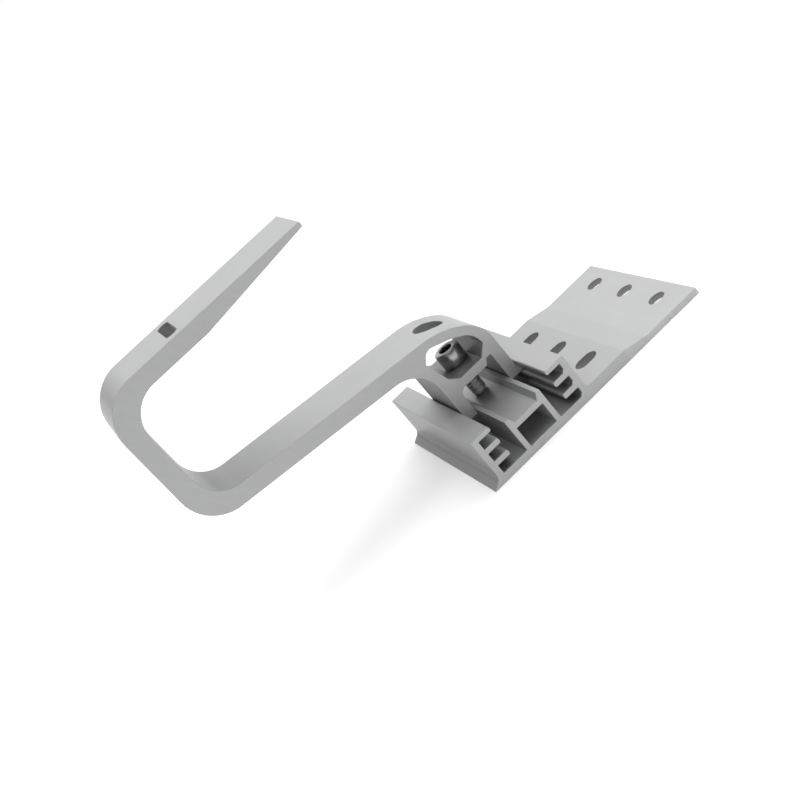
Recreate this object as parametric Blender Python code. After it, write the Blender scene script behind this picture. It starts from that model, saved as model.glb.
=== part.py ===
# Solar roof hook: an extruded base rail plate that is screwed to the rafter, a hook arm that slides
# in the rails of that plate, and a socket head screw that jacks the hook tight.
#
# Frame: X runs along the plate, from the hook's side (-X) to the plate's free end (+X).
# Y is the direction of both extrusions, and of the hook's slide in its rails.
# Z stands on the plate. The origin is on the underside of the plate, under the clamp screw,
# in the middle of the plate's width. Sizes in the first block are in millimetres.

import math

import bmesh
import bpy

MM = 0.001

# Base rail plate: the two rails stand on a floor, on both sides of the box under the screw
BASE_WIDTH = 100.0          # length of the piece cut from the extrusion
FLOOR = 4.0                 # floor of the rail channels
MOUTH_HALF = 17.05          # screw axis to the tips of the teeth
TOOTH_REACH = 7.65          # a tooth stands out of its wall by this much
TOOTH = 2.675               # thickness of a tooth
GAP = 4.5                   # height of the slot that a foot of the hook enters
GAP_COUNT = 3               # height settings, one slot above the other
FLANGE = 2.15               # top flange, over the uppermost slot
RAIL_WALL = 3.15
TIP_ROUND = 0.8             # rounding of the teeth and flanges at the mouth
GAP_CHAMFER = 1.6           # lower outer corner of the slots on the plate's side
LIP = 5.1                   # foot of the outer wall, sloping to nothing
LIP_EDGE = 0.4
LIP_ANGLE = 32.0
LIP_FILLET = 4.0

# Box between the rails, whose top is the floor that the screw presses on
BOX_HALF = 10.55
BOX_WALL = 2.65
BOX_HOLLOW = 11.0           # height of the hollow, from the rails' floor up
BOX_HOLLOW_ROUND = 0.5
BOX_FOOT_ROUND = 0.8        # fillets where the box stands on the floor of the channels
SCREW_FLOOR = 17.65
GUARD = 3.35                # the two edges that keep the screw's tip in the groove
GUARD_TOP = 2.2
GUARD_FOOT = 3.9

# Plate beside the rails, with its two rows of fixing holes
THICK = 5.7
THICK_LENGTH = 23.3
RAMP_LENGTH = 12.5
THIN = 3.15
THIN_LENGTH = 31.2
ROOT_FILLET = 1.4
HOLE_COUNT = 3
HOLE_PITCH = 30.0
HOLE_DIAMETER = 8.4
HOLE_TO_END = 10.4
SLOT_WIDTH = 8.5
SLOT_LENGTH = 11.7
SLOT_TO_RAIL = 12.55        # rail wall to the middle of the slot

# Hook arm, one slice of a second extrusion
HOOK_WIDTH = 36.0
SLIDE_GAP = 0.3             # clearance of the hook's feet and legs in the rails
FOOT_ROUND = 0.5
UNDER_SLAB = 13.6           # underside of the feet to the underside of the slab
SLAB = 4.5                  # slab that carries the screw
SLAB_FILLET = 3.5
NOTCH_SLAB = 6.25           # axis to the notch beside the slab
NOTCH_SLOPE = 2.1
NOTCH_DEPTH = 2.9
NOTCH_ROUND = 0.4
ARM_RISE = 33.35            # underside of the feet to the underside of the arm, on the axis
ARM_SLOPE = 6.2             # the arm climbs towards the back by this many degrees
ARM = 8.45
ARMPIT = 16.0               # fillet between the arm and the leg
NOSE_LENGTH = 16.15
NOSE_ANGLE = 35.6
NOSE_TOP_ROUND = 39.5
NOSE_FRONT_ROUND = 16.8

# Eye of the hook, the opening around the screw's head
EYE_FRONT_WALL = 5.4
EYE_FLOOR_CHAMFER = 4.8
EYE_NOSE_LENGTH = 10.05
EYE_NOSE_ANGLE = 30.5
EYE_NOSE_DEPTH = 6.75       # below the arm's top face, where the eye's roof bends
EYE_NOSE_ROUND = 10.4
EYE_BEND_ROUND = 20.0
EYE_TOP_INSET = 5.95        # the next three are counted from the outside of the back leg
EYE_BACK_INSET = 1.8
EYE_FOOT_INSET = 5.55
EYE_TOP_DEPTH = 3.8
EYE_TOP_ROUND = 4.5
EYE_BACK_DEPTH = 9.7
EYE_BACK_ROUND = 0.6
EYE_FOOT_HEIGHT = 3.85
EYE_FOOT_ROUND = 1.5
EYE_FLOOR_INSET = 9.95
EYE_FLOOR_ROUND = 2.0

# Back and upper leg of the hook
BACK_REACH = 133.35         # screw axis to the outside of the back
BACK = 10.05
BEND_OUTSIDE = 20.0
BEND_INSIDE = 16.0
UPPER_HEIGHT = 139.2        # top of the upper leg over the underside of the plate, as now set
UPPER = 8.8
UPPER_TIP_BACK = 16.7       # the leg ends this far short of the screw axis
UPPER_TAPER_LENGTH = 59.35
UPPER_TIP = 2.6
RAIL_SLOT_WIDTH = 5.9
RAIL_SLOT_LENGTH = 24.6
RAIL_SLOT_BACK = 46.1       # outside of the back to the middle of the slot

# Clamp screw, M8 with a socket head
SCREW_DIAMETER = 8.0
SCREW_CLEARANCE = 0.3
HEAD_DIAMETER = 13.0
HEAD_HEIGHT = 8.0
HEAD_CHAMFER = 0.7
HEAD_CLEARANCE = 0.3        # access hole in the roof of the eye
SOCKET_FLATS = 6.0
SOCKET_DEPTH = 4.0
POINT_CHAMFER = 1.0
SEAT_GAP = 0.3

# Fineness of the round stretches
ARC_STEP = math.radians(7.5)
CIRCLE_SIDES = 48
CUT_MARGIN = 5.0            # a cutter runs past both faces of what it cuts by this much

# Heights and distances that follow from the sizes above
RAIL_TOP = FLOOR + GAP_COUNT * GAP + (GAP_COUNT - 1) * TOOTH + FLANGE
WALL_INSIDE = MOUTH_HALF + TOOTH_REACH
WALL_OUTSIDE = WALL_INSIDE + RAIL_WALL
THICK_END = WALL_OUTSIDE + THICK_LENGTH
RAMP_END = THICK_END + RAMP_LENGTH
PLATE_END = RAMP_END + THIN_LENGTH
FOOT_UNDERSIDE = FLOOR + (GAP_COUNT - 1) * (GAP + TOOTH) + SLIDE_GAP
FOOT_TOP = FOOT_UNDERSIDE + GAP - 2 * SLIDE_GAP
LEG_OUTSIDE = MOUTH_HALF - SLIDE_GAP
LEG_INSIDE = BOX_HALF + SLIDE_GAP
FOOT_REACH = WALL_INSIDE - SLIDE_GAP
SLAB_UNDERSIDE = FOOT_UNDERSIDE + UNDER_SLAB
EYE_FLOOR = SLAB_UNDERSIDE + SLAB
ARM_FALL = math.tan(math.radians(ARM_SLOPE))
ARM_UNDERSIDE = FOOT_UNDERSIDE + ARM_RISE
ARM_TOP = ARM_UNDERSIDE + ARM / math.cos(math.radians(ARM_SLOPE))
HEAD_SEAT = EYE_FLOOR + SEAT_GAP
SCREW_POINT = SCREW_FLOOR + SEAT_GAP


def arm_underside(x):
    return ARM_UNDERSIDE - ARM_FALL * x


def arm_top(x):
    return ARM_TOP - ARM_FALL * x


def clear_scene():
    for scene_object in list(bpy.data.objects):
        bpy.data.objects.remove(scene_object, do_unlink=True)


def make_material(name, colour, roughness, metallic):
    material = bpy.data.materials.new(name)
    material.use_nodes = True
    shader = material.node_tree.nodes["Principled BSDF"]
    shader.inputs["Base Color"].default_value = (*colour, 1.0)
    shader.inputs["Roughness"].default_value = roughness
    shader.inputs["Metallic"].default_value = metallic
    return material


def round_corners(corners):
    """Turn corners (x, z, radius) into an outline whose rounded corners are arcs."""
    count = len(corners)
    sides = []
    for index, (x, z, _) in enumerate(corners):
        next_x, next_z, _ = corners[(index + 1) % count]
        length = math.hypot(next_x - x, next_z - z)
        sides.append((length, (next_x - x) / length, (next_z - z) / length))

    # Length that each fillet takes of the two sides next to it
    turns = []
    tangents = []
    for index, (_, _, radius) in enumerate(corners):
        _, in_x, in_z = sides[index - 1]
        _, out_x, out_z = sides[index]
        turn = math.atan2(in_x * out_z - in_z * out_x, in_x * out_x + in_z * out_z)
        turns.append(turn)
        tangents.append(radius * math.tan(abs(turn) / 2))

    # Two fillets that would meet on a side are made smaller until they fit it
    shares = []
    for index, (length, _, _) in enumerate(sides):
        taken = tangents[index] + tangents[(index + 1) % count]
        shares.append(1.0 if taken <= length else length / taken)

    outline = []
    for index, (x, z, radius) in enumerate(corners):
        if radius == 0.0 or turns[index] == 0.0:
            outline.append((x, z))
            continue
        share = min(shares[index - 1], shares[index])
        _, in_x, in_z = sides[index - 1]
        side = math.copysign(radius * share, turns[index])
        start_x = x - in_x * tangents[index] * share
        start_z = z - in_z * tangents[index] * share
        centre_x = start_x - in_z * side
        centre_z = start_z + in_x * side
        start = math.atan2(start_z - centre_z, start_x - centre_x)
        steps = math.ceil(abs(turns[index]) / ARC_STEP)
        for step in range(steps + 1):
            angle = start + turns[index] * step / steps
            outline.append((centre_x + radius * share * math.cos(angle),
                            centre_z + radius * share * math.sin(angle)))
    return outline


def new_object(name, bm, origin=(0.0, 0.0, 0.0)):
    """Make an object from a mesh in millimetres, with its origin at the given place."""
    bmesh.ops.recalc_face_normals(bm, faces=bm.faces)
    for vertex in bm.verts:
        vertex.co = [(vertex.co[axis] - origin[axis]) * MM for axis in range(3)]
    mesh = bpy.data.meshes.new(name)
    bm.to_mesh(mesh)
    bm.free()
    made = bpy.data.objects.new(name, mesh)
    made.location = [value * MM for value in origin]
    bpy.context.scene.collection.objects.link(made)
    return made


def prism_along_y(name, outline, width, origin=(0.0, 0.0, 0.0)):
    """Extrude an outline in X and Z along Y, with its middle at Y = 0."""
    bm = bmesh.new()
    near = [bm.verts.new((x, -width / 2, z)) for x, z in outline]
    face = bm.faces.new(near)
    swept = bmesh.ops.extrude_face_region(bm, geom=[face])
    moved = [item for item in swept["geom"] if isinstance(item, bmesh.types.BMVert)]
    bmesh.ops.translate(bm, verts=moved, vec=(0.0, width, 0.0))
    return new_object(name, bm, origin)


def prism_along_z(name, outline, low, high):
    """Extrude an outline in X and Y along Z."""
    bm = bmesh.new()
    bottom = [bm.verts.new((x, y, low)) for x, y in outline]
    face = bm.faces.new(bottom)
    swept = bmesh.ops.extrude_face_region(bm, geom=[face])
    moved = [item for item in swept["geom"] if isinstance(item, bmesh.types.BMVert)]
    bmesh.ops.translate(bm, verts=moved, vec=(0.0, 0.0, high - low))
    return new_object(name, bm)


def turned(name, profile, origin):
    """Turn a profile of (radius, z) about Z; its first and last radius are 0."""
    bm = bmesh.new()
    rings = []
    for radius, z in profile:
        if radius == 0.0:
            rings.append([bm.verts.new((0.0, 0.0, z))])
            continue
        ring = []
        for side in range(CIRCLE_SIDES):
            angle = 2 * math.pi * side / CIRCLE_SIDES
            ring.append(bm.verts.new((radius * math.cos(angle), radius * math.sin(angle), z)))
        rings.append(ring)
    for lower, upper in zip(rings, rings[1:]):
        for side in range(CIRCLE_SIDES):
            after = (side + 1) % CIRCLE_SIDES
            if len(lower) == 1:
                bm.faces.new((lower[0], upper[after], upper[side]))
            elif len(upper) == 1:
                bm.faces.new((lower[side], lower[after], upper[0]))
            else:
                bm.faces.new((lower[side], lower[after], upper[after], upper[side]))
    return new_object(name, bm, origin)


def circle(centre_x, centre_y, diameter, sides=CIRCLE_SIDES):
    outline = []
    for side in range(sides):
        angle = 2 * math.pi * side / sides
        outline.append((centre_x + diameter / 2 * math.cos(angle),
                        centre_y + diameter / 2 * math.sin(angle)))
    return outline


def long_hole(centre_x, centre_y, length_x, length_y):
    """Outline of a slot with round ends, longer in X or in Y."""
    radius = min(length_x, length_y) / 2
    offset_x = length_x / 2 - radius
    offset_y = length_y / 2 - radius
    outline = []
    for side in range(CIRCLE_SIDES):
        angle = 2 * math.pi * (side + 0.5) / CIRCLE_SIDES
        outline.append((centre_x + math.copysign(offset_x, math.cos(angle)) + radius * math.cos(angle),
                        centre_y + math.copysign(offset_y, math.sin(angle)) + radius * math.sin(angle)))
    return outline


def cut(body, cutter):
    """Take the cutter's shape out of the body."""
    cutter.hide_render = True
    cutter.display_type = "WIRE"
    modifier = body.modifiers.new(cutter.name, "BOOLEAN")
    modifier.operation = "DIFFERENCE"
    modifier.solver = "EXACT"
    modifier.object = cutter


def finish(body, material):
    """Give a piece its material and smooth its round stretches."""
    body.data.materials.append(material)
    body.data.shade_smooth()
    body.data.set_sharp_from_angle(angle=math.radians(25))


def rail_mouth(side, chamfer):
    """Inner face of one rail, from its top down to the floor, as corners (x, z, radius)."""
    corners = []
    top = RAIL_TOP
    thickness = FLANGE
    for _ in range(GAP_COUNT):
        tooth_underside = top - thickness
        gap_bottom = tooth_underside - GAP
        corners += [
            (side * MOUTH_HALF, top, TIP_ROUND),
            (side * MOUTH_HALF, tooth_underside, TIP_ROUND),
            (side * WALL_INSIDE, tooth_underside, 0.0),
            (side * WALL_INSIDE, gap_bottom + chamfer, 0.0),
        ]
        if chamfer:
            corners.append((side * (WALL_INSIDE - chamfer), gap_bottom, 0.0))
        top = gap_bottom
        thickness = TOOTH
    return corners


def base_section():
    """Section of the plate with its rails, counter-clockwise, without the box's hollow."""
    lip_tip = -(WALL_OUTSIDE + LIP)
    lip_height = LIP_EDGE + LIP * math.tan(math.radians(LIP_ANGLE))
    guard_top = SCREW_FLOOR + GUARD
    plate = [
        (lip_tip, 0.0, 0.0),
        (PLATE_END, 0.0, 0.0),
        (PLATE_END, THIN, 0.0),
        (RAMP_END, THIN, 0.0),
        (THICK_END, THICK, 0.0),
        (WALL_OUTSIDE, THICK, ROOT_FILLET),
        (WALL_OUTSIDE, RAIL_TOP, 0.0),
    ]
    box = [
        (BOX_HALF, FLOOR, BOX_FOOT_ROUND),
        (BOX_HALF, guard_top, 0.0),
        (BOX_HALF - GUARD_TOP, guard_top, 0.0),
        (BOX_HALF - GUARD_FOOT, SCREW_FLOOR, 0.0),
        (GUARD_FOOT - BOX_HALF, SCREW_FLOOR, 0.0),
        (GUARD_TOP - BOX_HALF, guard_top, 0.0),
        (-BOX_HALF, guard_top, 0.0),
        (-BOX_HALF, FLOOR, BOX_FOOT_ROUND),
    ]
    lip = [
        (-WALL_OUTSIDE, RAIL_TOP, 0.0),
        (-WALL_OUTSIDE, lip_height, LIP_FILLET),
        (lip_tip, LIP_EDGE, 0.0),
    ]
    back_rail = rail_mouth(-1, 0.0)[::-1]
    return plate + rail_mouth(1, GAP_CHAMFER) + box + back_rail + lip


def make_base(material):
    base = prism_along_y("base_rail_plate", round_corners(base_section()), BASE_WIDTH)
    hollow_half = BOX_HALF - BOX_WALL
    hollow = [
        (-hollow_half, FLOOR, BOX_HOLLOW_ROUND),
        (hollow_half, FLOOR, BOX_HOLLOW_ROUND),
        (hollow_half, FLOOR + BOX_HOLLOW, BOX_HOLLOW_ROUND),
        (-hollow_half, FLOOR + BOX_HOLLOW, BOX_HOLLOW_ROUND),
    ]
    past_both_ends = BASE_WIDTH + 2 * CUT_MARGIN
    cut(base, prism_along_y("box_hollow", round_corners(hollow), past_both_ends))
    low = -CUT_MARGIN
    high = THICK + CUT_MARGIN
    hole_x = PLATE_END - HOLE_TO_END
    slot_x = WALL_OUTSIDE + SLOT_TO_RAIL
    for number in range(HOLE_COUNT):
        y = (number - (HOLE_COUNT - 1) / 2) * HOLE_PITCH
        cut(base, prism_along_z(f"round_hole_{number}", circle(hole_x, y, HOLE_DIAMETER), low, high))
        slot = long_hole(slot_x, y, SLOT_LENGTH, SLOT_WIDTH)
        cut(base, prism_along_z(f"long_hole_{number}", slot, low, high))
    finish(base, material)


def hook_section():
    """Section of the hook, counter-clockwise, without its eye."""
    nose_x = LEG_OUTSIDE - NOSE_LENGTH
    nose_front = arm_top(nose_x) - NOSE_LENGTH * math.tan(math.radians(NOSE_ANGLE))
    back_inside = BACK - BACK_REACH
    notch_top = SLAB_UNDERSIDE + NOTCH_DEPTH
    upper_underside = UPPER_HEIGHT - UPPER
    legs = [
        (-FOOT_REACH, FOOT_UNDERSIDE, FOOT_ROUND),
        (-LEG_INSIDE, FOOT_UNDERSIDE, FOOT_ROUND),
        (-LEG_INSIDE, SLAB_UNDERSIDE, SLAB_FILLET),
        (NOTCH_SLAB, SLAB_UNDERSIDE, 0.0),
        (NOTCH_SLAB + NOTCH_SLOPE, notch_top, NOTCH_ROUND),
        (LEG_INSIDE, notch_top, NOTCH_ROUND),
        (LEG_INSIDE, FOOT_UNDERSIDE, FOOT_ROUND),
        (FOOT_REACH - GAP_CHAMFER, FOOT_UNDERSIDE, 0.0),
        (FOOT_REACH, FOOT_UNDERSIDE + GAP_CHAMFER, 0.0),
        (FOOT_REACH, FOOT_TOP, FOOT_ROUND),
        (LEG_OUTSIDE, FOOT_TOP, FOOT_ROUND),
    ]
    outside = [
        (LEG_OUTSIDE, nose_front, NOSE_FRONT_ROUND),
        (nose_x, arm_top(nose_x), NOSE_TOP_ROUND),
        (back_inside, arm_top(back_inside), BEND_INSIDE),
        (back_inside, upper_underside, BEND_INSIDE),
        (-UPPER_TIP_BACK - UPPER_TAPER_LENGTH, upper_underside, 0.0),
        (-UPPER_TIP_BACK, UPPER_HEIGHT - UPPER_TIP, 0.0),
        (-UPPER_TIP_BACK, UPPER_HEIGHT, 0.0),
        (-BACK_REACH, UPPER_HEIGHT, BEND_OUTSIDE),
        (-BACK_REACH, arm_underside(-BACK_REACH), BEND_OUTSIDE),
        (-LEG_OUTSIDE, arm_underside(-LEG_OUTSIDE), ARMPIT),
        (-LEG_OUTSIDE, FOOT_TOP, FOOT_ROUND),
        (-FOOT_REACH, FOOT_TOP, FOOT_ROUND),
    ]
    return legs + outside


def eye_outline():
    """Opening around the screw's head, counter-clockwise."""
    front = LEG_OUTSIDE - EYE_FRONT_WALL
    bend_x = front - EYE_NOSE_LENGTH
    bend_z = arm_top(bend_x) - EYE_NOSE_DEPTH
    nose_z = bend_z - EYE_NOSE_LENGTH * math.tan(math.radians(EYE_NOSE_ANGLE))
    top_x = EYE_TOP_INSET - LEG_OUTSIDE
    back_x = EYE_BACK_INSET - LEG_OUTSIDE
    return [
        (EYE_FLOOR_INSET - LEG_OUTSIDE, EYE_FLOOR, EYE_FLOOR_ROUND),
        (front - EYE_FLOOR_CHAMFER, EYE_FLOOR, 0.0),
        (front, EYE_FLOOR + EYE_FLOOR_CHAMFER, 0.0),
        (front, nose_z, EYE_NOSE_ROUND),
        (bend_x, bend_z, EYE_BEND_ROUND),
        (top_x, arm_top(top_x) - EYE_TOP_DEPTH, EYE_TOP_ROUND),
        (back_x, arm_top(back_x) - EYE_BACK_DEPTH, EYE_BACK_ROUND),
        (EYE_FOOT_INSET - LEG_OUTSIDE, EYE_FLOOR + EYE_FOOT_HEIGHT, EYE_FOOT_ROUND),
    ]


def make_hook(material):
    # The origin is on the line of the slide, level with the underside of the feet
    slide_line = (0.0, 0.0, FOOT_UNDERSIDE)
    hook = prism_along_y("hook_arm", round_corners(hook_section()), HOOK_WIDTH, slide_line)
    past_both_ends = HOOK_WIDTH + 2 * CUT_MARGIN
    cut(hook, prism_along_y("eye_opening", round_corners(eye_outline()), past_both_ends))

    access = circle(0.0, 0.0, HEAD_DIAMETER + 2 * HEAD_CLEARANCE)
    above_roof = arm_top(-BACK_REACH)
    cut(hook, prism_along_z("access_hole", access, HEAD_SEAT + HEAD_HEIGHT, above_roof))

    tapped = circle(0.0, 0.0, SCREW_DIAMETER + 2 * SCREW_CLEARANCE)
    cut(hook, prism_along_z("screw_hole", tapped, SCREW_POINT, HEAD_SEAT + HEAD_HEIGHT / 2))

    slot = long_hole(RAIL_SLOT_BACK - BACK_REACH, 0.0, RAIL_SLOT_WIDTH, RAIL_SLOT_LENGTH)
    slot_low = UPPER_HEIGHT - UPPER - CUT_MARGIN
    cut(hook, prism_along_z("rail_slot", slot, slot_low, UPPER_HEIGHT + CUT_MARGIN))
    finish(hook, material)


def make_screw(material):
    head_radius = HEAD_DIAMETER / 2
    shank_radius = SCREW_DIAMETER / 2
    head_top = HEAD_SEAT + HEAD_HEIGHT
    profile = [
        (0.0, SCREW_POINT),
        (shank_radius - POINT_CHAMFER, SCREW_POINT),
        (shank_radius, SCREW_POINT + POINT_CHAMFER),
        (shank_radius, HEAD_SEAT),
        (head_radius, HEAD_SEAT),
        (head_radius, head_top - HEAD_CHAMFER),
        (head_radius - HEAD_CHAMFER, head_top),
        (0.0, head_top),
    ]
    screw = turned("clamp_screw", profile, (0.0, 0.0, HEAD_SEAT))
    across_corners = SOCKET_FLATS / math.cos(math.radians(30))
    socket = circle(0.0, 0.0, across_corners, 6)
    cut(screw, prism_along_z("hex_socket", socket, head_top - SOCKET_DEPTH, head_top + CUT_MARGIN))
    finish(screw, material)


clear_scene()
aluminium = make_material("aluminium", (0.78, 0.79, 0.80), 0.38, 1.0)
steel = make_material("screw_steel", (0.50, 0.50, 0.51), 0.25, 1.0)
make_base(aluminium)
make_hook(aluminium)
make_screw(steel)
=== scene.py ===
# %% [markdown]
# # A solar roof hook
# A roof hook holds the rails of solar modules above the tiles. This one has three parts: a plate
# with two toothed rails, which is screwed to a rafter, a C-shaped hook arm that slides in those
# rails, and one socket head screw that jacks the hook tight. Their measured solids come packed as
# a fixed frame. This script keeps that frame, gives each part its worked surface, and lights it.

# %% The measured parts
import math

import bmesh
import bpy
from mathutils import Matrix, Vector


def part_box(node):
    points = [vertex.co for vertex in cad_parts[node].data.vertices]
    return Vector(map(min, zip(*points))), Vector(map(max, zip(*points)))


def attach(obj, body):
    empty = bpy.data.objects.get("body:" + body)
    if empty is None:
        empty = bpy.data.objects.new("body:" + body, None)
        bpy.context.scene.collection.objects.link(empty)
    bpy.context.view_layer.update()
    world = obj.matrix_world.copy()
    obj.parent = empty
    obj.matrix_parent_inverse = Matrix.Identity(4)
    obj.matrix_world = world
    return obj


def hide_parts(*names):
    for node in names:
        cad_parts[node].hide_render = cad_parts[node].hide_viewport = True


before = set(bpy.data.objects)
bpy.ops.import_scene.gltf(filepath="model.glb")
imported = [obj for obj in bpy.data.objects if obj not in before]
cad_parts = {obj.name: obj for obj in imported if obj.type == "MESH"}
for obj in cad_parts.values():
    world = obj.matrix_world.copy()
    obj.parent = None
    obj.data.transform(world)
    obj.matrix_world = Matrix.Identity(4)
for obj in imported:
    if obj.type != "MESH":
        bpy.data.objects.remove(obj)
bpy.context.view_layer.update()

MM = 0.001
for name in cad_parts:
    low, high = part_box(name)
    print(name, [round(1000 * (high[axis] - low[axis]), 1) for axis in range(3)], "mm")

# %% [markdown]
# ## The camera
# The photograph is taken from above the open ends of the rails, with the camera rolled far over,
# so that the plate seems to stand on one edge. A camera that is given by the three directions it
# sees, right, up and forward, is easier to check against a photograph than three turning angles.

# %% The camera
lens = bpy.data.cameras.new("camera")
lens.lens = 63.73
lens.sensor_width = 36.0
lens.clip_start = 0.01
camera = bpy.data.objects.new("camera", lens)
bpy.context.scene.collection.objects.link(camera)

sees_right = Vector((0.7154, -0.34224, -0.60916))
sees_up = Vector((0.68679, 0.18401, 0.70318))
sees_ahead = Vector((0.12857, 0.92142, -0.36669))
standpoint = Matrix((sees_right, sees_up, -sees_ahead)).transposed().to_4x4()
standpoint.translation = Vector((-0.11416, -0.59374, 0.27851))
camera.matrix_world = standpoint
bpy.context.scene.camera = camera
print("camera", [round(value, 3) for value in camera.location])

# %% [markdown]
# ## Wires between nodes
# Every material and every Geometry Nodes tree below is a net of nodes. Placed by hand they take
# many lines, so one small class stands for the end of a wire: sums on it add Math nodes, and
# its method `node` adds any other node, first its settings and then its sockets.

# %% The wire class
class Wire:
    """An output socket in a node tree; arithmetic on it adds the Math nodes."""

    def __init__(self, tree, socket=None):
        self.tree = tree
        self.socket = socket

    def node(self, kind, settings=None, sockets=None, out=0):
        """Add a node. Its settings come first, then values or wires for its sockets."""
        made = self.tree.nodes.new(kind)
        for name, value in (settings or {}).items():
            setattr(made, name, value)
        for name, value in (sockets or {}).items():
            if isinstance(value, Wire):
                self.tree.links.new(value.socket, made.inputs[name])
            else:
                made.inputs[name].default_value = value
        return Wire(self.tree, made.outputs[out])

    def maths(self, operation, *values):
        """A Math node on any values or wires."""
        sockets = {place: value for place, value in enumerate(values)}
        return self.node("ShaderNodeMath", {"operation": operation}, sockets)

    def __add__(self, other):
        return self.maths("ADD", self, other)

    def __radd__(self, other):
        return self.maths("ADD", other, self)

    def __sub__(self, other):
        return self.maths("SUBTRACT", self, other)

    def __rsub__(self, other):
        return self.maths("SUBTRACT", other, self)

    def __mul__(self, other):
        return self.maths("MULTIPLY", self, other)

    def __truediv__(self, other):
        return self.maths("DIVIDE", self, other)

    def __abs__(self):
        return self.maths("ABSOLUTE", self)

    def above(self, low, high):
        """0 below low, 1 above high, with an even rise between them."""
        rise = {"Value": self, "From Min": low, "From Max": high}
        return self.node("ShaderNodeMapRange", {"clamp": True}, rise)

    def below(self, low, high):
        """1 below low, 0 above high, with an even fall between them."""
        return 1.0 - self.above(low, high)

    def within(self, middle, reach, edge):
        """1 up to reach from the middle, and 0 once past the edge that follows it."""
        return abs(self - middle).below(reach, reach + edge)

    def axis(self, letter):
        """The X, Y or Z of a vector."""
        return self.node("ShaderNodeSeparateXYZ", None, {"Vector": self}, letter)

    def stretched(self, x, y, z):
        """The same coordinates, counted x, y and z times as fast."""
        sockets = {"Vector": self, "Scale": (x, y, z)}
        return self.node("ShaderNodeMapping", {"vector_type": "POINT"}, sockets)

    def noise(self, scale, detail=2.0, roughness=0.5):
        """Cloudy noise from 0 to 1 over these coordinates."""
        sockets = {"Vector": self, "Scale": scale, "Detail": detail, "Roughness": roughness}
        return self.node("ShaderNodeTexNoise", None, sockets)

    def scaled(self, factor):
        """This colour or vector made factor times as strong."""
        sockets = {0: self, "Scale": factor}
        return self.node("ShaderNodeVectorMath", {"operation": "SCALE"}, sockets)

    def mix(self, low, high):
        """Blend of two colours, low where this is 0 and high where it is 1."""
        sockets = {0: self, 6: (*low, 1.0) if isinstance(low, tuple) else low,
                   7: (*high, 1.0) if isinstance(high, tuple) else high}
        return self.node("ShaderNodeMix", {"data_type": "RGBA"}, sockets, 2)

    def bump(self, depth):
        """Normals of a surface whose height is this wire times the depth in metres."""
        sockets = {"Height": self, "Distance": depth, "Strength": 1.0}
        return self.node("ShaderNodeBump", None, sockets)


print("wires ready")

# %% [markdown]
# ## A material's two ends
# Each finish starts from the coordinates of its own piece, so that its pattern stays on the piece
# when the piece moves. It ends in Blender's Principled shader, whose sockets take a wire where
# the value changes over the surface and a plain number where it doesn't.

# %% The start and the end of a material
def new_material(name):
    """An empty material; gives it with a wire that carries Object coordinates."""
    material = bpy.data.materials.new(name)
    material.use_nodes = True
    start = Wire(material.node_tree)
    return material, start.node("ShaderNodeTexCoord", None, None, "Object")


def mark_on(place, attribute):
    """A wire with the value that a face attribute has, 0 where the piece has none."""
    return place.node("ShaderNodeAttribute", {"attribute_name": attribute}, None, "Fac")


def shade(material, sockets):
    """Set the sockets of the material's Principled shader to wires or to plain values."""
    shader = material.node_tree.nodes["Principled BSDF"]
    for name, value in sockets.items():
        socket = shader.inputs[name]
        if isinstance(value, Wire):
            material.node_tree.links.new(value.socket, socket)
        else:
            socket.default_value = value
    print(material.name, len(material.node_tree.nodes), "nodes")


print("materials can start")

# %% [markdown]
# ## Extruded aluminium
# The metal leaves the die with fine lines along the extrusion, here along Y, and dulls to a
# satin grey. Stretched noise gives such lines: it is counted fast across the section and slowly
# along it. The sawn ends look different. A saw leaves flat, matt faces with faint arcs, so the
# same material turns to a second pattern close to the two ends, found from the Y coordinate.
# Over all of it lies a thin clear skin, as anodising leaves it. It adds the soft reflections that
# show at a flat angle, and a coat on the shader stands for it. The walls of drilled holes are
# painted darker, as painted shade, and an attribute on their faces tells the material where they
# are.

# %% Extruded aluminium
PRESS_DARK = (0.490, 0.492, 0.496)
PRESS_PALE = (0.540, 0.542, 0.545)
# Painted shade for the walls of drilled holes
BORE_PAINTED_SHADE = (0.42, 0.42, 0.425)
SATIN = 0.52                          # roughness of a worked face
LINE_DEPTH = 0.012 * MM
SAWN_SKIN = (0.12 * MM, 0.04 * MM)    # the saw's pattern begins and is full this far from an end
BLADE_CENTRE = (0.31, 0.0, 0.42)      # well outside the piece, so its arcs are nearly straight
TOOTH_MARKS = 5200.0                  # radians for each metre from the blade's centre
FEED_MARKS = 1150.0


def wave(distance, rate):
    """An even wave from 0 to 1 over a distance."""
    return (distance * rate).maths("SINE", distance * rate) * 0.5 + 0.5


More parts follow.
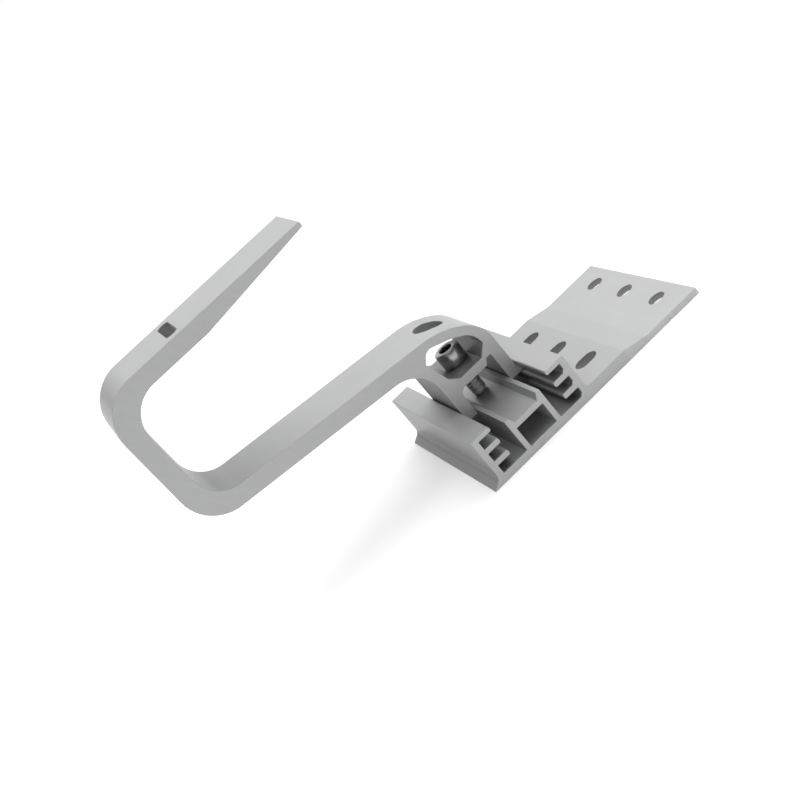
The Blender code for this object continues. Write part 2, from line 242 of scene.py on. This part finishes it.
def extruded_aluminium(name, half_width, painted_shading):
    """Mill finish, with the given zones of painted light and shade, for a slice of an extrusion
    that reaches half_width to both sides of Y = 0.
    """
    material, place = new_material(name)
    end = abs(place.axis("Y")).above(half_width - SAWN_SKIN[0], half_width - SAWN_SKIN[1])
    side = 1.0 - end

    lines = place.stretched(1.0, 0.015, 1.0).noise(2600.0, 3.0, 0.6)
    broad = place.stretched(1.0, 0.04, 1.0).noise(210.0, 2.0, 0.5)
    clouds = place.noise(38.0, 3.0, 0.55)

    to_centre = {0: place.stretched(1.0, 0.0, 1.0), 1: BLADE_CENTRE}
    from_blade = place.node("ShaderNodeVectorMath", {"operation": "DISTANCE"}, to_centre, "Value")
    grain = place.noise(900.0, 2.0, 0.6)
    arcs = wave(from_blade, TOOTH_MARKS)
    sawn = arcs * 0.4 + wave(from_blade, FEED_MARKS) * 0.25 + grain * 0.35

    worked = side * (lines * 0.6 + broad * 0.4) + end * sawn
    colour = (worked * 0.35 + clouds * 0.65).above(0.25, 0.75).mix(PRESS_DARK, PRESS_PALE)
    # The zones paint light and shade on the colour, and painted shade darkens the walls of the
    # holes
    drilled = mark_on(place, "drilled")
    shade(material, {
        "Base Color": drilled.mix(colour.scaled(painted_shading(place, side)), BORE_PAINTED_SHADE),
        "Metallic": 1.0,
        "Roughness": SATIN + lines * side * 0.08 + end * 0.08 + clouds * 0.06 + drilled * 0.3,
        "Coat Weight": 0.3, "Coat Roughness": 0.2, "Coat IOR": 1.6,
        "Normal": worked.bump(LINE_DEPTH)})
    return material


# %% [markdown]
# ## Painted light and shade in zones
# In the photograph neither extrusion is the same grey all over. The thin end of the plate and the
# hollow of its box are paler, and the rails' outsides, the hook's legs, the floor of its eye and
# the lower end of its arm are darker. This is light and shade that the soft light below doesn't
# give, so zones on the metal paint it: painted light where it is paler and painted shade where it
# is darker, set by comparison with the photograph. Some of this may be the metal, as a die and a
# brush leave it, and some is shade that the soft light below doesn't give. One picture can't tell
# them apart, so zones on the metal stand for both, set by comparison with the photograph. Each is
# a block in the piece's own coordinates, with soft edges, and moves with the piece. It is a factor
# on the colour, so that lines and clouds still run through it. Sawn ends have only the paler thin
# end.

# %% The plate's zones
THICK_END = 51.15 * MM       # from here the plate slopes down to its thin part
RAMP_END = 63.65 * MM
RAIL_OUTSIDE = 27.85 * MM


def plate_painted_shading(place, side):
    """Painted light on the thin end and the hollow, painted shade on both rails' outsides, as a
    factor.
    """
    x, z = place.axis("X"), place.axis("Z")
    ramp = x.above(THICK_END - 0.35 * MM, THICK_END + 0.45 * MM)
    thin = ramp * 0.6 + x.above(RAMP_END - 1.15 * MM, RAMP_END + 0.85 * MM) * 0.4
    hollow = x.within(0.0, 7.95 * MM, 0.15 * MM) * z.within(9.5 * MM, 5.55 * MM, 0.15 * MM)
    # The painted shade is only half as dark on the lip at the foot of the back rail
    lip_to_wall = z.above(3.0 * MM, 6.5 * MM) * 0.5 + 0.5
    back_wall = x.below(-RAIL_OUTSIDE + 0.01 * MM, -RAIL_OUTSIDE + 0.05 * MM) * lip_to_wall
    front_wall = x.within(RAIL_OUTSIDE, 0.03 * MM, 0.03 * MM) * z.above(6.0 * MM, 6.5 * MM)
    return 0.93 + thin * 0.10 + side * (hollow * 0.34 - (back_wall + front_wall) * 0.34)


plate_metal = extruded_aluminium("extruded_plate", 50.0 * MM, plate_painted_shading)

# %% The hook's zones
def hook_painted_shading(place, side):
    """Painted shade on the legs, inside and at the back, on the eye floor, the arm's lower end and
    the sawn ends, as a factor.
    """
    x, z = place.axis("X"), place.axis("Z")
    below_slab = z.below(36.6 * MM, 36.9 * MM) * x.within(0.0, 11.2 * MM, 0.4 * MM)
    # Behind the legs the painted shade ends on a slant, along the underside of the arm
    under_arm = (z + x * 0.3).below(41.0 * MM, 46.0 * MM)
    leg_back = x.within(-20.5 * MM, 4.5 * MM, 0.5 * MM) * under_arm
    legs = z.maths("MAXIMUM", below_slab * 0.9, leg_back * 1.16)
    in_eye = z.below(42.0 * MM, 46.0 * MM) * x.within(0.0, 12.5 * MM, 0.5 * MM)
    eye_floor = in_eye * (1.0 - below_slab)
    along_arm = x.below(-115.0 * MM, -65.0 * MM) * x.above(-129.0 * MM, -127.0 * MM)
    arm_end = along_arm * z.below(85.0 * MM, 110.0 * MM)
    # The sawn ends stay a little darker than the sides, as painted shade, and the zones lie on the
    # sides only
    return 0.96 + side * (0.04 - legs * 0.5 - eye_floor * 0.32 - arm_end * 0.37)


hook_metal = extruded_aluminium("extruded_hook", 18.0 * MM, hook_painted_shading)

# %% [markdown]
# ## The two extrusions
# The solids have knife-sharp edges, and real ones never do: a sawn edge is broken with a file or
# a brush before a hand touches it. A Bevel modifier on a merged copy of each solid makes that
# small round, and weighted normals keep the large faces flat. It is made a plain mesh at once.

# %% The deburred extrusions
BROKEN_EDGE = 0.18 * MM


def deburred(node, name, material):
    """A copy of a measured part whose sharp edges are broken by a small round."""
    bm = bmesh.new()
    bm.from_mesh(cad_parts[node].data)
    bmesh.ops.remove_doubles(bm, verts=bm.verts, dist=0.002 * MM)
    flat = math.radians(0.4)
    bmesh.ops.dissolve_limit(bm, angle_limit=flat, verts=bm.verts, edges=bm.edges)
    mesh = bpy.data.meshes.new(name)
    bm.to_mesh(mesh)
    bm.free()
    mesh.materials.clear()
    mesh.materials.append(material)
    mesh.shade_smooth()
    part = bpy.data.objects.new(name, mesh)
    bpy.context.scene.collection.objects.link(part)

    bevel = part.modifiers.new("broken_edges", "BEVEL")
    bevel.width = BROKEN_EDGE
    bevel.segments = 2
    bevel.limit_method = "ANGLE"
    bevel.angle_limit = math.radians(20)
    bevel.use_clamp_overlap = False
    bevel.miter_outer = "MITER_ARC"
    weighted = part.modifiers.new("flat_faces", "WEIGHTED_NORMAL")
    weighted.keep_sharp = True
    return plain(part)


def plain(part):
    """Turn an object with live modifiers into one with a plain mesh."""
    view = bpy.context.evaluated_depsgraph_get()
    mesh = bpy.data.meshes.new_from_object(part.evaluated_get(view))
    mesh.name = part.name
    part.modifiers.clear()
    part.data = mesh
    triangles = sum(len(face.vertices) - 2 for face in mesh.polygons)
    print(part.name, triangles, "triangles")
    return part


plate = deburred("base_rail_plate", "rail_plate", plate_metal)
hook = deburred("hook_arm", "hook", hook_metal)

# %% [markdown]
# ## The walls of the holes
# Both extrusions are drilled after they are sawn, and the walls of their holes are painted darker,
# as painted shade. To find them in the shader would take many nodes for each hole, and the flat
# face round a hole comes as close to it as its wall does. So each face is asked once, here,
# whether it stands upright on the outline of a hole, and the answer is stored on it as an
# attribute, which the material reads.

# %% The walls of the holes
# In mm: x, y, radius, half the straight run in X and in Y, lowest and highest point
ROWS = (-30.0, 0.0, 30.0)
ROUND_HOLES = [(84.45, y, 4.2, 0.0, 0.0, 0.0, 9.0) for y in ROWS]
LONG_HOLES = [(40.4, y, 4.25, 1.6, 0.0, 0.0, 9.0) for y in ROWS]
KEY_HOLE = (0.0, 0.0, 6.8, 0.0, 0.0, 45.0, 70.0)
SCREW_HOLE = (0.0, 0.0, 4.3, 0.0, 0.0, 30.0, 42.0)
RAIL_SLOT = (-87.25, 0.0, 2.95, 0.0, 9.35, 125.0, 145.0)


def mark_faces(part, attribute, chosen):
    """Store 1 on the faces whose centre and normal the function chooses, and 0 on the rest."""
    marks = part.data.attributes.new(attribute, "FLOAT", "FACE")
    for face, mark in zip(part.data.polygons, marks.data):
        mark.value = 1.0 if chosen(face.center / MM, face.normal) else 0.0
    print(part.name, attribute, round(sum(mark.value for mark in marks.data)), "faces")


def in_holes(holes):
    """Gives a function that chooses the upright walls of these holes."""
    def chosen(centre, normal):
        for x, y, radius, half_x, half_y, low, high in holes:
            past_x = max(abs(centre.x - x) - half_x, 0.0)
            past_y = max(abs(centre.y - y) - half_y, 0.0)
            on_outline = math.hypot(past_x, past_y) < radius + 0.05
            if on_outline and low < centre.z < high and abs(normal.z) < 0.5:
                return True
        return False
    return chosen


mark_faces(plate, "drilled", in_holes(ROUND_HOLES + LONG_HOLES))
mark_faces(hook, "drilled", in_holes([KEY_HOLE, SCREW_HOLE, RAIL_SLOT]))

# %% [markdown]
# ## Their places in the frame
# A finished piece stands in for the measured solid it was made from, so that the solid no longer
# shows. It rides on that solid's body, to move with the joints.

# %% The two extrusions take their places
for part, node, body, slot in ((plate, "base_rail_plate", "base", "base_aluminium"),
                               (hook, "hook_arm", "hook", "hook_aluminium")):
    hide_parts(node)
    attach(part, body)
    print(part.name, "stands in for", node)

# %% [markdown]
# ## The clamp screw
# This is an M8 socket head screw: a smooth head with a hexagon socket, and a shank with a thread
# of 1.25 mm pitch. Its blank is turned, so a column of rings on one axis makes it. The socket is
# a part of the same column: there the rings follow a hexagon instead of a circle.

# %% The screw's profile
screw_low, screw_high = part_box("clamp_screw")
point = screw_low.z
crown = screw_high.z
seat = crown - 8.0 * MM
PITCH = 1.25 * MM
SHANK_RADIUS = 4.0 * MM
TIP_RADIUS = 3.0 * MM
END_STEP = 0.1 * MM          # from either end of the shank to the rings of the thread
HEXAGON = 6
ROUND = 0

# Height in m, radius in mm and shape, from under the head over the crown and into the socket
HEAD_PROFILE = (
    (seat, 4.25, ROUND), (seat, 6.1, ROUND), (seat + 0.12 * MM, 6.35, ROUND),
    (seat + 0.35 * MM, 6.4, ROUND), (crown - 0.85 * MM, 6.4, ROUND),
    (crown - 0.6 * MM, 6.28, ROUND), (crown - 0.12 * MM, 5.88, ROUND), (crown, 5.65, ROUND),
    (crown, 3.75, ROUND), (crown - 0.08 * MM, 3.5, ROUND), (crown - 0.5 * MM, 3.0, HEXAGON),
    (crown - 3.9 * MM, 3.0, HEXAGON), (crown - 4.0 * MM, 2.9, HEXAGON),
)
SOCKET_POINT = crown - 5.2 * MM
print("screw", round((seat - point) / MM, 1), "mm long under its head")

# %% The rings of the screw
SIDES = 96


def ring(bm, z, radius, corners=ROUND):
    """A ring of vertices round the screw's axis, on a circle or a polygon."""
    vertices = []
    for side in range(SIDES):
        angle = 2 * math.pi * side / SIDES
        reach = radius
        if corners:
            sector = 2 * math.pi / corners
            reach = radius / math.cos((angle + sector / 2) % sector - sector / 2)
        vertices.append(bm.verts.new((reach * math.cos(angle), reach * math.sin(angle), z)))
    return vertices


def shank_rings(bm):
    """Rings up the shank, ten for each turn of the thread, so that the thread can be cut in."""
    start = point + END_STEP
    rings = [ring(bm, point, TIP_RADIUS - END_STEP), ring(bm, start, TIP_RADIUS)]
    length = seat - END_STEP - start
    rows = round(length / (PITCH / 10))
    for row in range(1, rows + 1):
        z = start + length * row / rows
        rings.append(ring(bm, z, min(SHANK_RADIUS, TIP_RADIUS + (z - point))))
    return rings


print("a ring has", SIDES, "points")

# %% The turned blank
def turned_blank():
    """The screw without its thread, as one closed mesh."""
    bm = bmesh.new()
    tip = bm.verts.new((0.0, 0.0, point))
    rings = shank_rings(bm)
    rings += [ring(bm, height, radius * MM, shape) for height, radius, shape in HEAD_PROFILE]
    for lower, upper in zip(rings, rings[1:]):
        for side in range(SIDES):
            after = (side + 1) % SIDES
            bm.faces.new((lower[side], lower[after], upper[after], upper[side]))
    socket_end = bm.verts.new((0.0, 0.0, SOCKET_POINT))
    for side in range(SIDES):
        after = (side + 1) % SIDES
        bm.faces.new((rings[0][after], rings[0][side], tip))
        bm.faces.new((rings[-1][side], rings[-1][after], socket_end))
    bmesh.ops.recalc_face_normals(bm, faces=bm.faces)
    mesh = bpy.data.meshes.new("screw_blank")
    bm.to_mesh(mesh)
    bm.free()
    mesh.shade_smooth()
    mesh.set_sharp_from_angle(angle=math.radians(35))
    blank = bpy.data.objects.new("screw", mesh)
    bpy.context.scene.collection.objects.link(blank)
    return blank


screw = turned_blank()
print("screw blank", len(screw.data.vertices), "vertices")

# %% [markdown]
# ## Its steel
# The screw is darker than the aluminium around it: plated steel with a smooth, glossy head.
# Uneven plating gives faint clouds, and rolling leaves a fine grain. In the photograph the thread
# is paler and duller than the head, so it has a grey of its own. The socket is painted near black,
# as painted shade for its deep walls.

# %% Plated steel
HEAD_DARK = (0.34, 0.34, 0.345)
HEAD_PALE = (0.42, 0.42, 0.43)
THREAD_PALE = (0.93, 0.93, 0.94)
# Painted shade for the deep walls of the socket
SOCKET_PAINTED_SHADE = (0.09, 0.09, 0.092)
GLOSSY = 0.21                # roughness of the head
PLATING_DEPTH = 0.002 * MM


def plated_steel():
    """Grey plated steel with a duller thread and a socket painted near black as shade."""
    material, place = new_material("plated_steel")
    clouds = place.noise(420.0, 3.0, 0.6)
    grain = place.noise(3200.0, 2.0, 0.6)
    thread = place.axis("Z").below(seat - 0.2 * MM, seat)
    head = (clouds * 0.7 + grain * 0.3).above(0.3, 0.7).mix(HEAD_DARK, HEAD_PALE)
    socket = mark_on(place, "socket")
    shade(material, {
        "Base Color": socket.mix(thread.mix(head, THREAD_PALE), SOCKET_PAINTED_SHADE),
        "Metallic": 1.0,
        "Roughness": GLOSSY + clouds * 0.08 + socket * 0.3 + thread * 0.26,
        "Normal": (grain * 0.5 + clouds * 0.5).bump(PLATING_DEPTH)})
    return material


steel = plated_steel()

# %% [markdown]
# ## The thread
# A thread follows a rule, so Geometry Nodes make it. Each point of the shank moves in by how far
# it lies from the crest of the thread, and one turn round the axis shifts the crest by one pitch.

# %% A tree of Geometry Nodes
def new_tree(name, inputs):
    """An empty tree with named inputs; gives the tree and a wire for each input."""
    tree = bpy.data.node_groups.new(name, "GeometryNodeTree")
    tree.interface.new_socket("Geometry", in_out="INPUT", socket_type="NodeSocketGeometry")
    tree.interface.new_socket("Geometry", in_out="OUTPUT", socket_type="NodeSocketGeometry")
    for label, kind in inputs.items():
        tree.interface.new_socket(label, in_out="INPUT", socket_type="NodeSocket" + kind)
    entry = tree.nodes.new("NodeGroupInput")
    wires = {socket.name: Wire(tree, socket) for socket in entry.outputs if socket.name}
    return tree, wires


def close_tree(tree, geometry):
    """Give the last geometry to the tree's output."""
    outlet = tree.nodes.new("NodeGroupOutput")
    tree.links.new(geometry.socket, outlet.inputs["Geometry"])


def run_tree(part, tree, values):
    """Put the tree on a part as a modifier, with its values set by socket identifier."""
    modifier = part.modifiers.new(tree.name, "NODES")
    modifier.node_group = tree
    for socket in tree.interface.items_tree:
        if socket.in_out == "INPUT" and socket.name in values:
            modifier[socket.identifier] = values[socket.name]


print("trees can be built")

# %% The tree that cuts the thread
def thread_tree():
    """Moves the points of a shank in, along a helix."""
    tree, wires = new_tree("cut_thread", {"Pitch": "Float", "Depth": "Float", "Top": "Float",
                                          "Outer Radius": "Float", "Steel": "Material"})
    start = wires["Geometry"]
    place = start.node("GeometryNodeInputPosition")
    x, y, z = (place.axis(letter) for letter in "XYZ")
    turn = start.maths("ARCTAN2", y, x) / (2 * math.pi)
    phase = (z / wires["Pitch"] - turn).maths("FRACT", z / wires["Pitch"] - turn)
    # A crest and a root, both a little flat, with straight flanks between them
    from_crest = abs(phase - 0.5) * 2.0
    groove = from_crest.above(0.12, 0.80)
    radius = (x * x + y * y).maths("SQRT", x * x + y * y)
    cut_to = wires["Outer Radius"] - groove * wires["Depth"]
    factor = start.maths("MINIMUM", cut_to / radius, 1.0)
    moved = start.node("ShaderNodeCombineXYZ", None, {"X": x * factor, "Y": y * factor, "Z": z})
    # The point in the middle of the tip has no direction to move in, so it stays
    off_axis = start.maths("GREATER_THAN", radius, 2.5 * MM)
    on_shank = start.maths("LESS_THAN", z, wires["Top"]) * off_axis
    threaded = start.node("GeometryNodeSetPosition", None,
                          {"Geometry": start, "Selection": on_shank, "Position": moved})
    close_tree(tree, threaded.node("GeometryNodeSetMaterial", None,
                                   {"Geometry": threaded, "Material": wires["Steel"]}))
    print(tree.name, len(tree.nodes), "nodes")
    return tree


run_tree(screw, thread_tree(), {"Pitch": PITCH, "Depth": 0.68 * MM, "Top": seat - 0.05 * MM,
                                "Outer Radius": SHANK_RADIUS, "Steel": steel})
plain(screw)
print("thread turns", round((seat - point) / PITCH, 1))

# %% [markdown]
# ## The finished screw
# The faces of the socket get a mark for the steel to read, as the walls of the holes did. They
# are known by their depth under the crown and by their distance from the axis. Then the screw
# takes the place of its measured solid, and rides on a body of its own, since it turns.

# %% The finished screw
SOCKET_DEPTHS = (0.02, 5.5)  # mm under the crown, from just inside its edge to past its point
MOUTH_RADIUS = 3.55          # mm, just outside the chamfer of the socket


def in_socket(centre, normal):
    """Chooses the faces of the socket."""
    highest, lowest = (crown / MM - depth for depth in SOCKET_DEPTHS)
    return lowest < centre.z < highest and math.hypot(centre.x, centre.y) < MOUTH_RADIUS


mark_faces(screw, "socket", in_socket)
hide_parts("clamp_screw")
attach(screw, "screw")

# %% [markdown]
# ## The floor
# The photograph has a plain white ground. A pale floor that is many times larger than the object
# gives the same, because its far edge is out of sight and the light on it is even. Like a
# photographer's light table it also glows a little by itself, which keeps its shadows pale.

# %% The floor
REACH = 60.0
FLOOR_GLOW = 0.2
ground = bpy.data.meshes.new("floor")
corners = [(-REACH, -REACH, 0.0), (REACH, -REACH, 0.0), (REACH, REACH, 0.0), (-REACH, REACH, 0.0)]
ground.from_pydata(corners, [], [(0, 1, 2, 3)])
floor = bpy.data.objects.new("floor", ground)
bpy.context.scene.collection.objects.link(floor)
pale, place = new_material("pale_floor")
paper = place.noise(3.0).mix((0.94, 0.94, 0.94), (0.95, 0.95, 0.95))
shade(pale, {"Base Color": paper, "Roughness": 0.9,
             "Emission Color": (1.0, 1.0, 1.0, 1.0), "Emission Strength": FLOOR_GLOW})
ground.materials.append(pale)
print("floor", 2 * REACH, "m wide")

# %% [markdown]
# ## The light
# The object was photographed in light as from a bright tent: pale tops, sawn sides a step darker,
# hollows dark, and no hard shadow. Lamps could make it, but every lamp has an edge that shiny
# metal shows. So the world itself glows, in a few wide soft patches. A patch is brightest in
# its own direction, and a power of the cosine makes it fade away from there. Where the sky is
# looked at straight, past the floor's far edge, it is as white as the floor: the Light Path node
# tells such a look from the light that falls on the object.

# %% The light
# Degrees round from +X, degrees up, and strength
PATCHES = ((0, 90, 0.60), (0, 57, 1.85), (225, 57, 1.63), (45, 57, 0.44), (45, 22, 0.54),
           (90, 22, 0.97))
SHARPNESS = 6
world = bpy.data.worlds.new("light_tent")
world.use_nodes = True
bpy.context.scene.world = world
sky = Wire(world.node_tree)
looking = sky.node("ShaderNodeTexCoord", None, None, "Generated")


def patch(around, above, strength):
    """Light from one side, brightest in the middle of its patch."""
    around, above = math.radians(around), math.radians(above)
    level = math.cos(above)
    middle = (level * math.cos(around), level * math.sin(around), math.sin(above))
    cosine = sky.node("ShaderNodeVectorMath", {"operation": "DOT_PRODUCT"},
                      {0: looking, 1: middle}, "Value")
    return sky.maths("POWER", sky.maths("MAXIMUM", cosine, 0.0), SHARPNESS) * strength


glow = patch(*PATCHES[0])
for values in PATCHES[1:]:
    glow = glow + patch(*values)
seen = sky.node("ShaderNodeLightPath")
shown = seen + glow * (1.0 - seen)
background = world.node_tree.nodes["Background"]
background.inputs["Color"].default_value = (1.0, 1.0, 1.0, 1.0)
world.node_tree.links.new(shown.socket, background.inputs["Strength"])
bpy.context.scene.view_settings.view_transform = "Standard"
print(len(PATCHES), "patches of light")
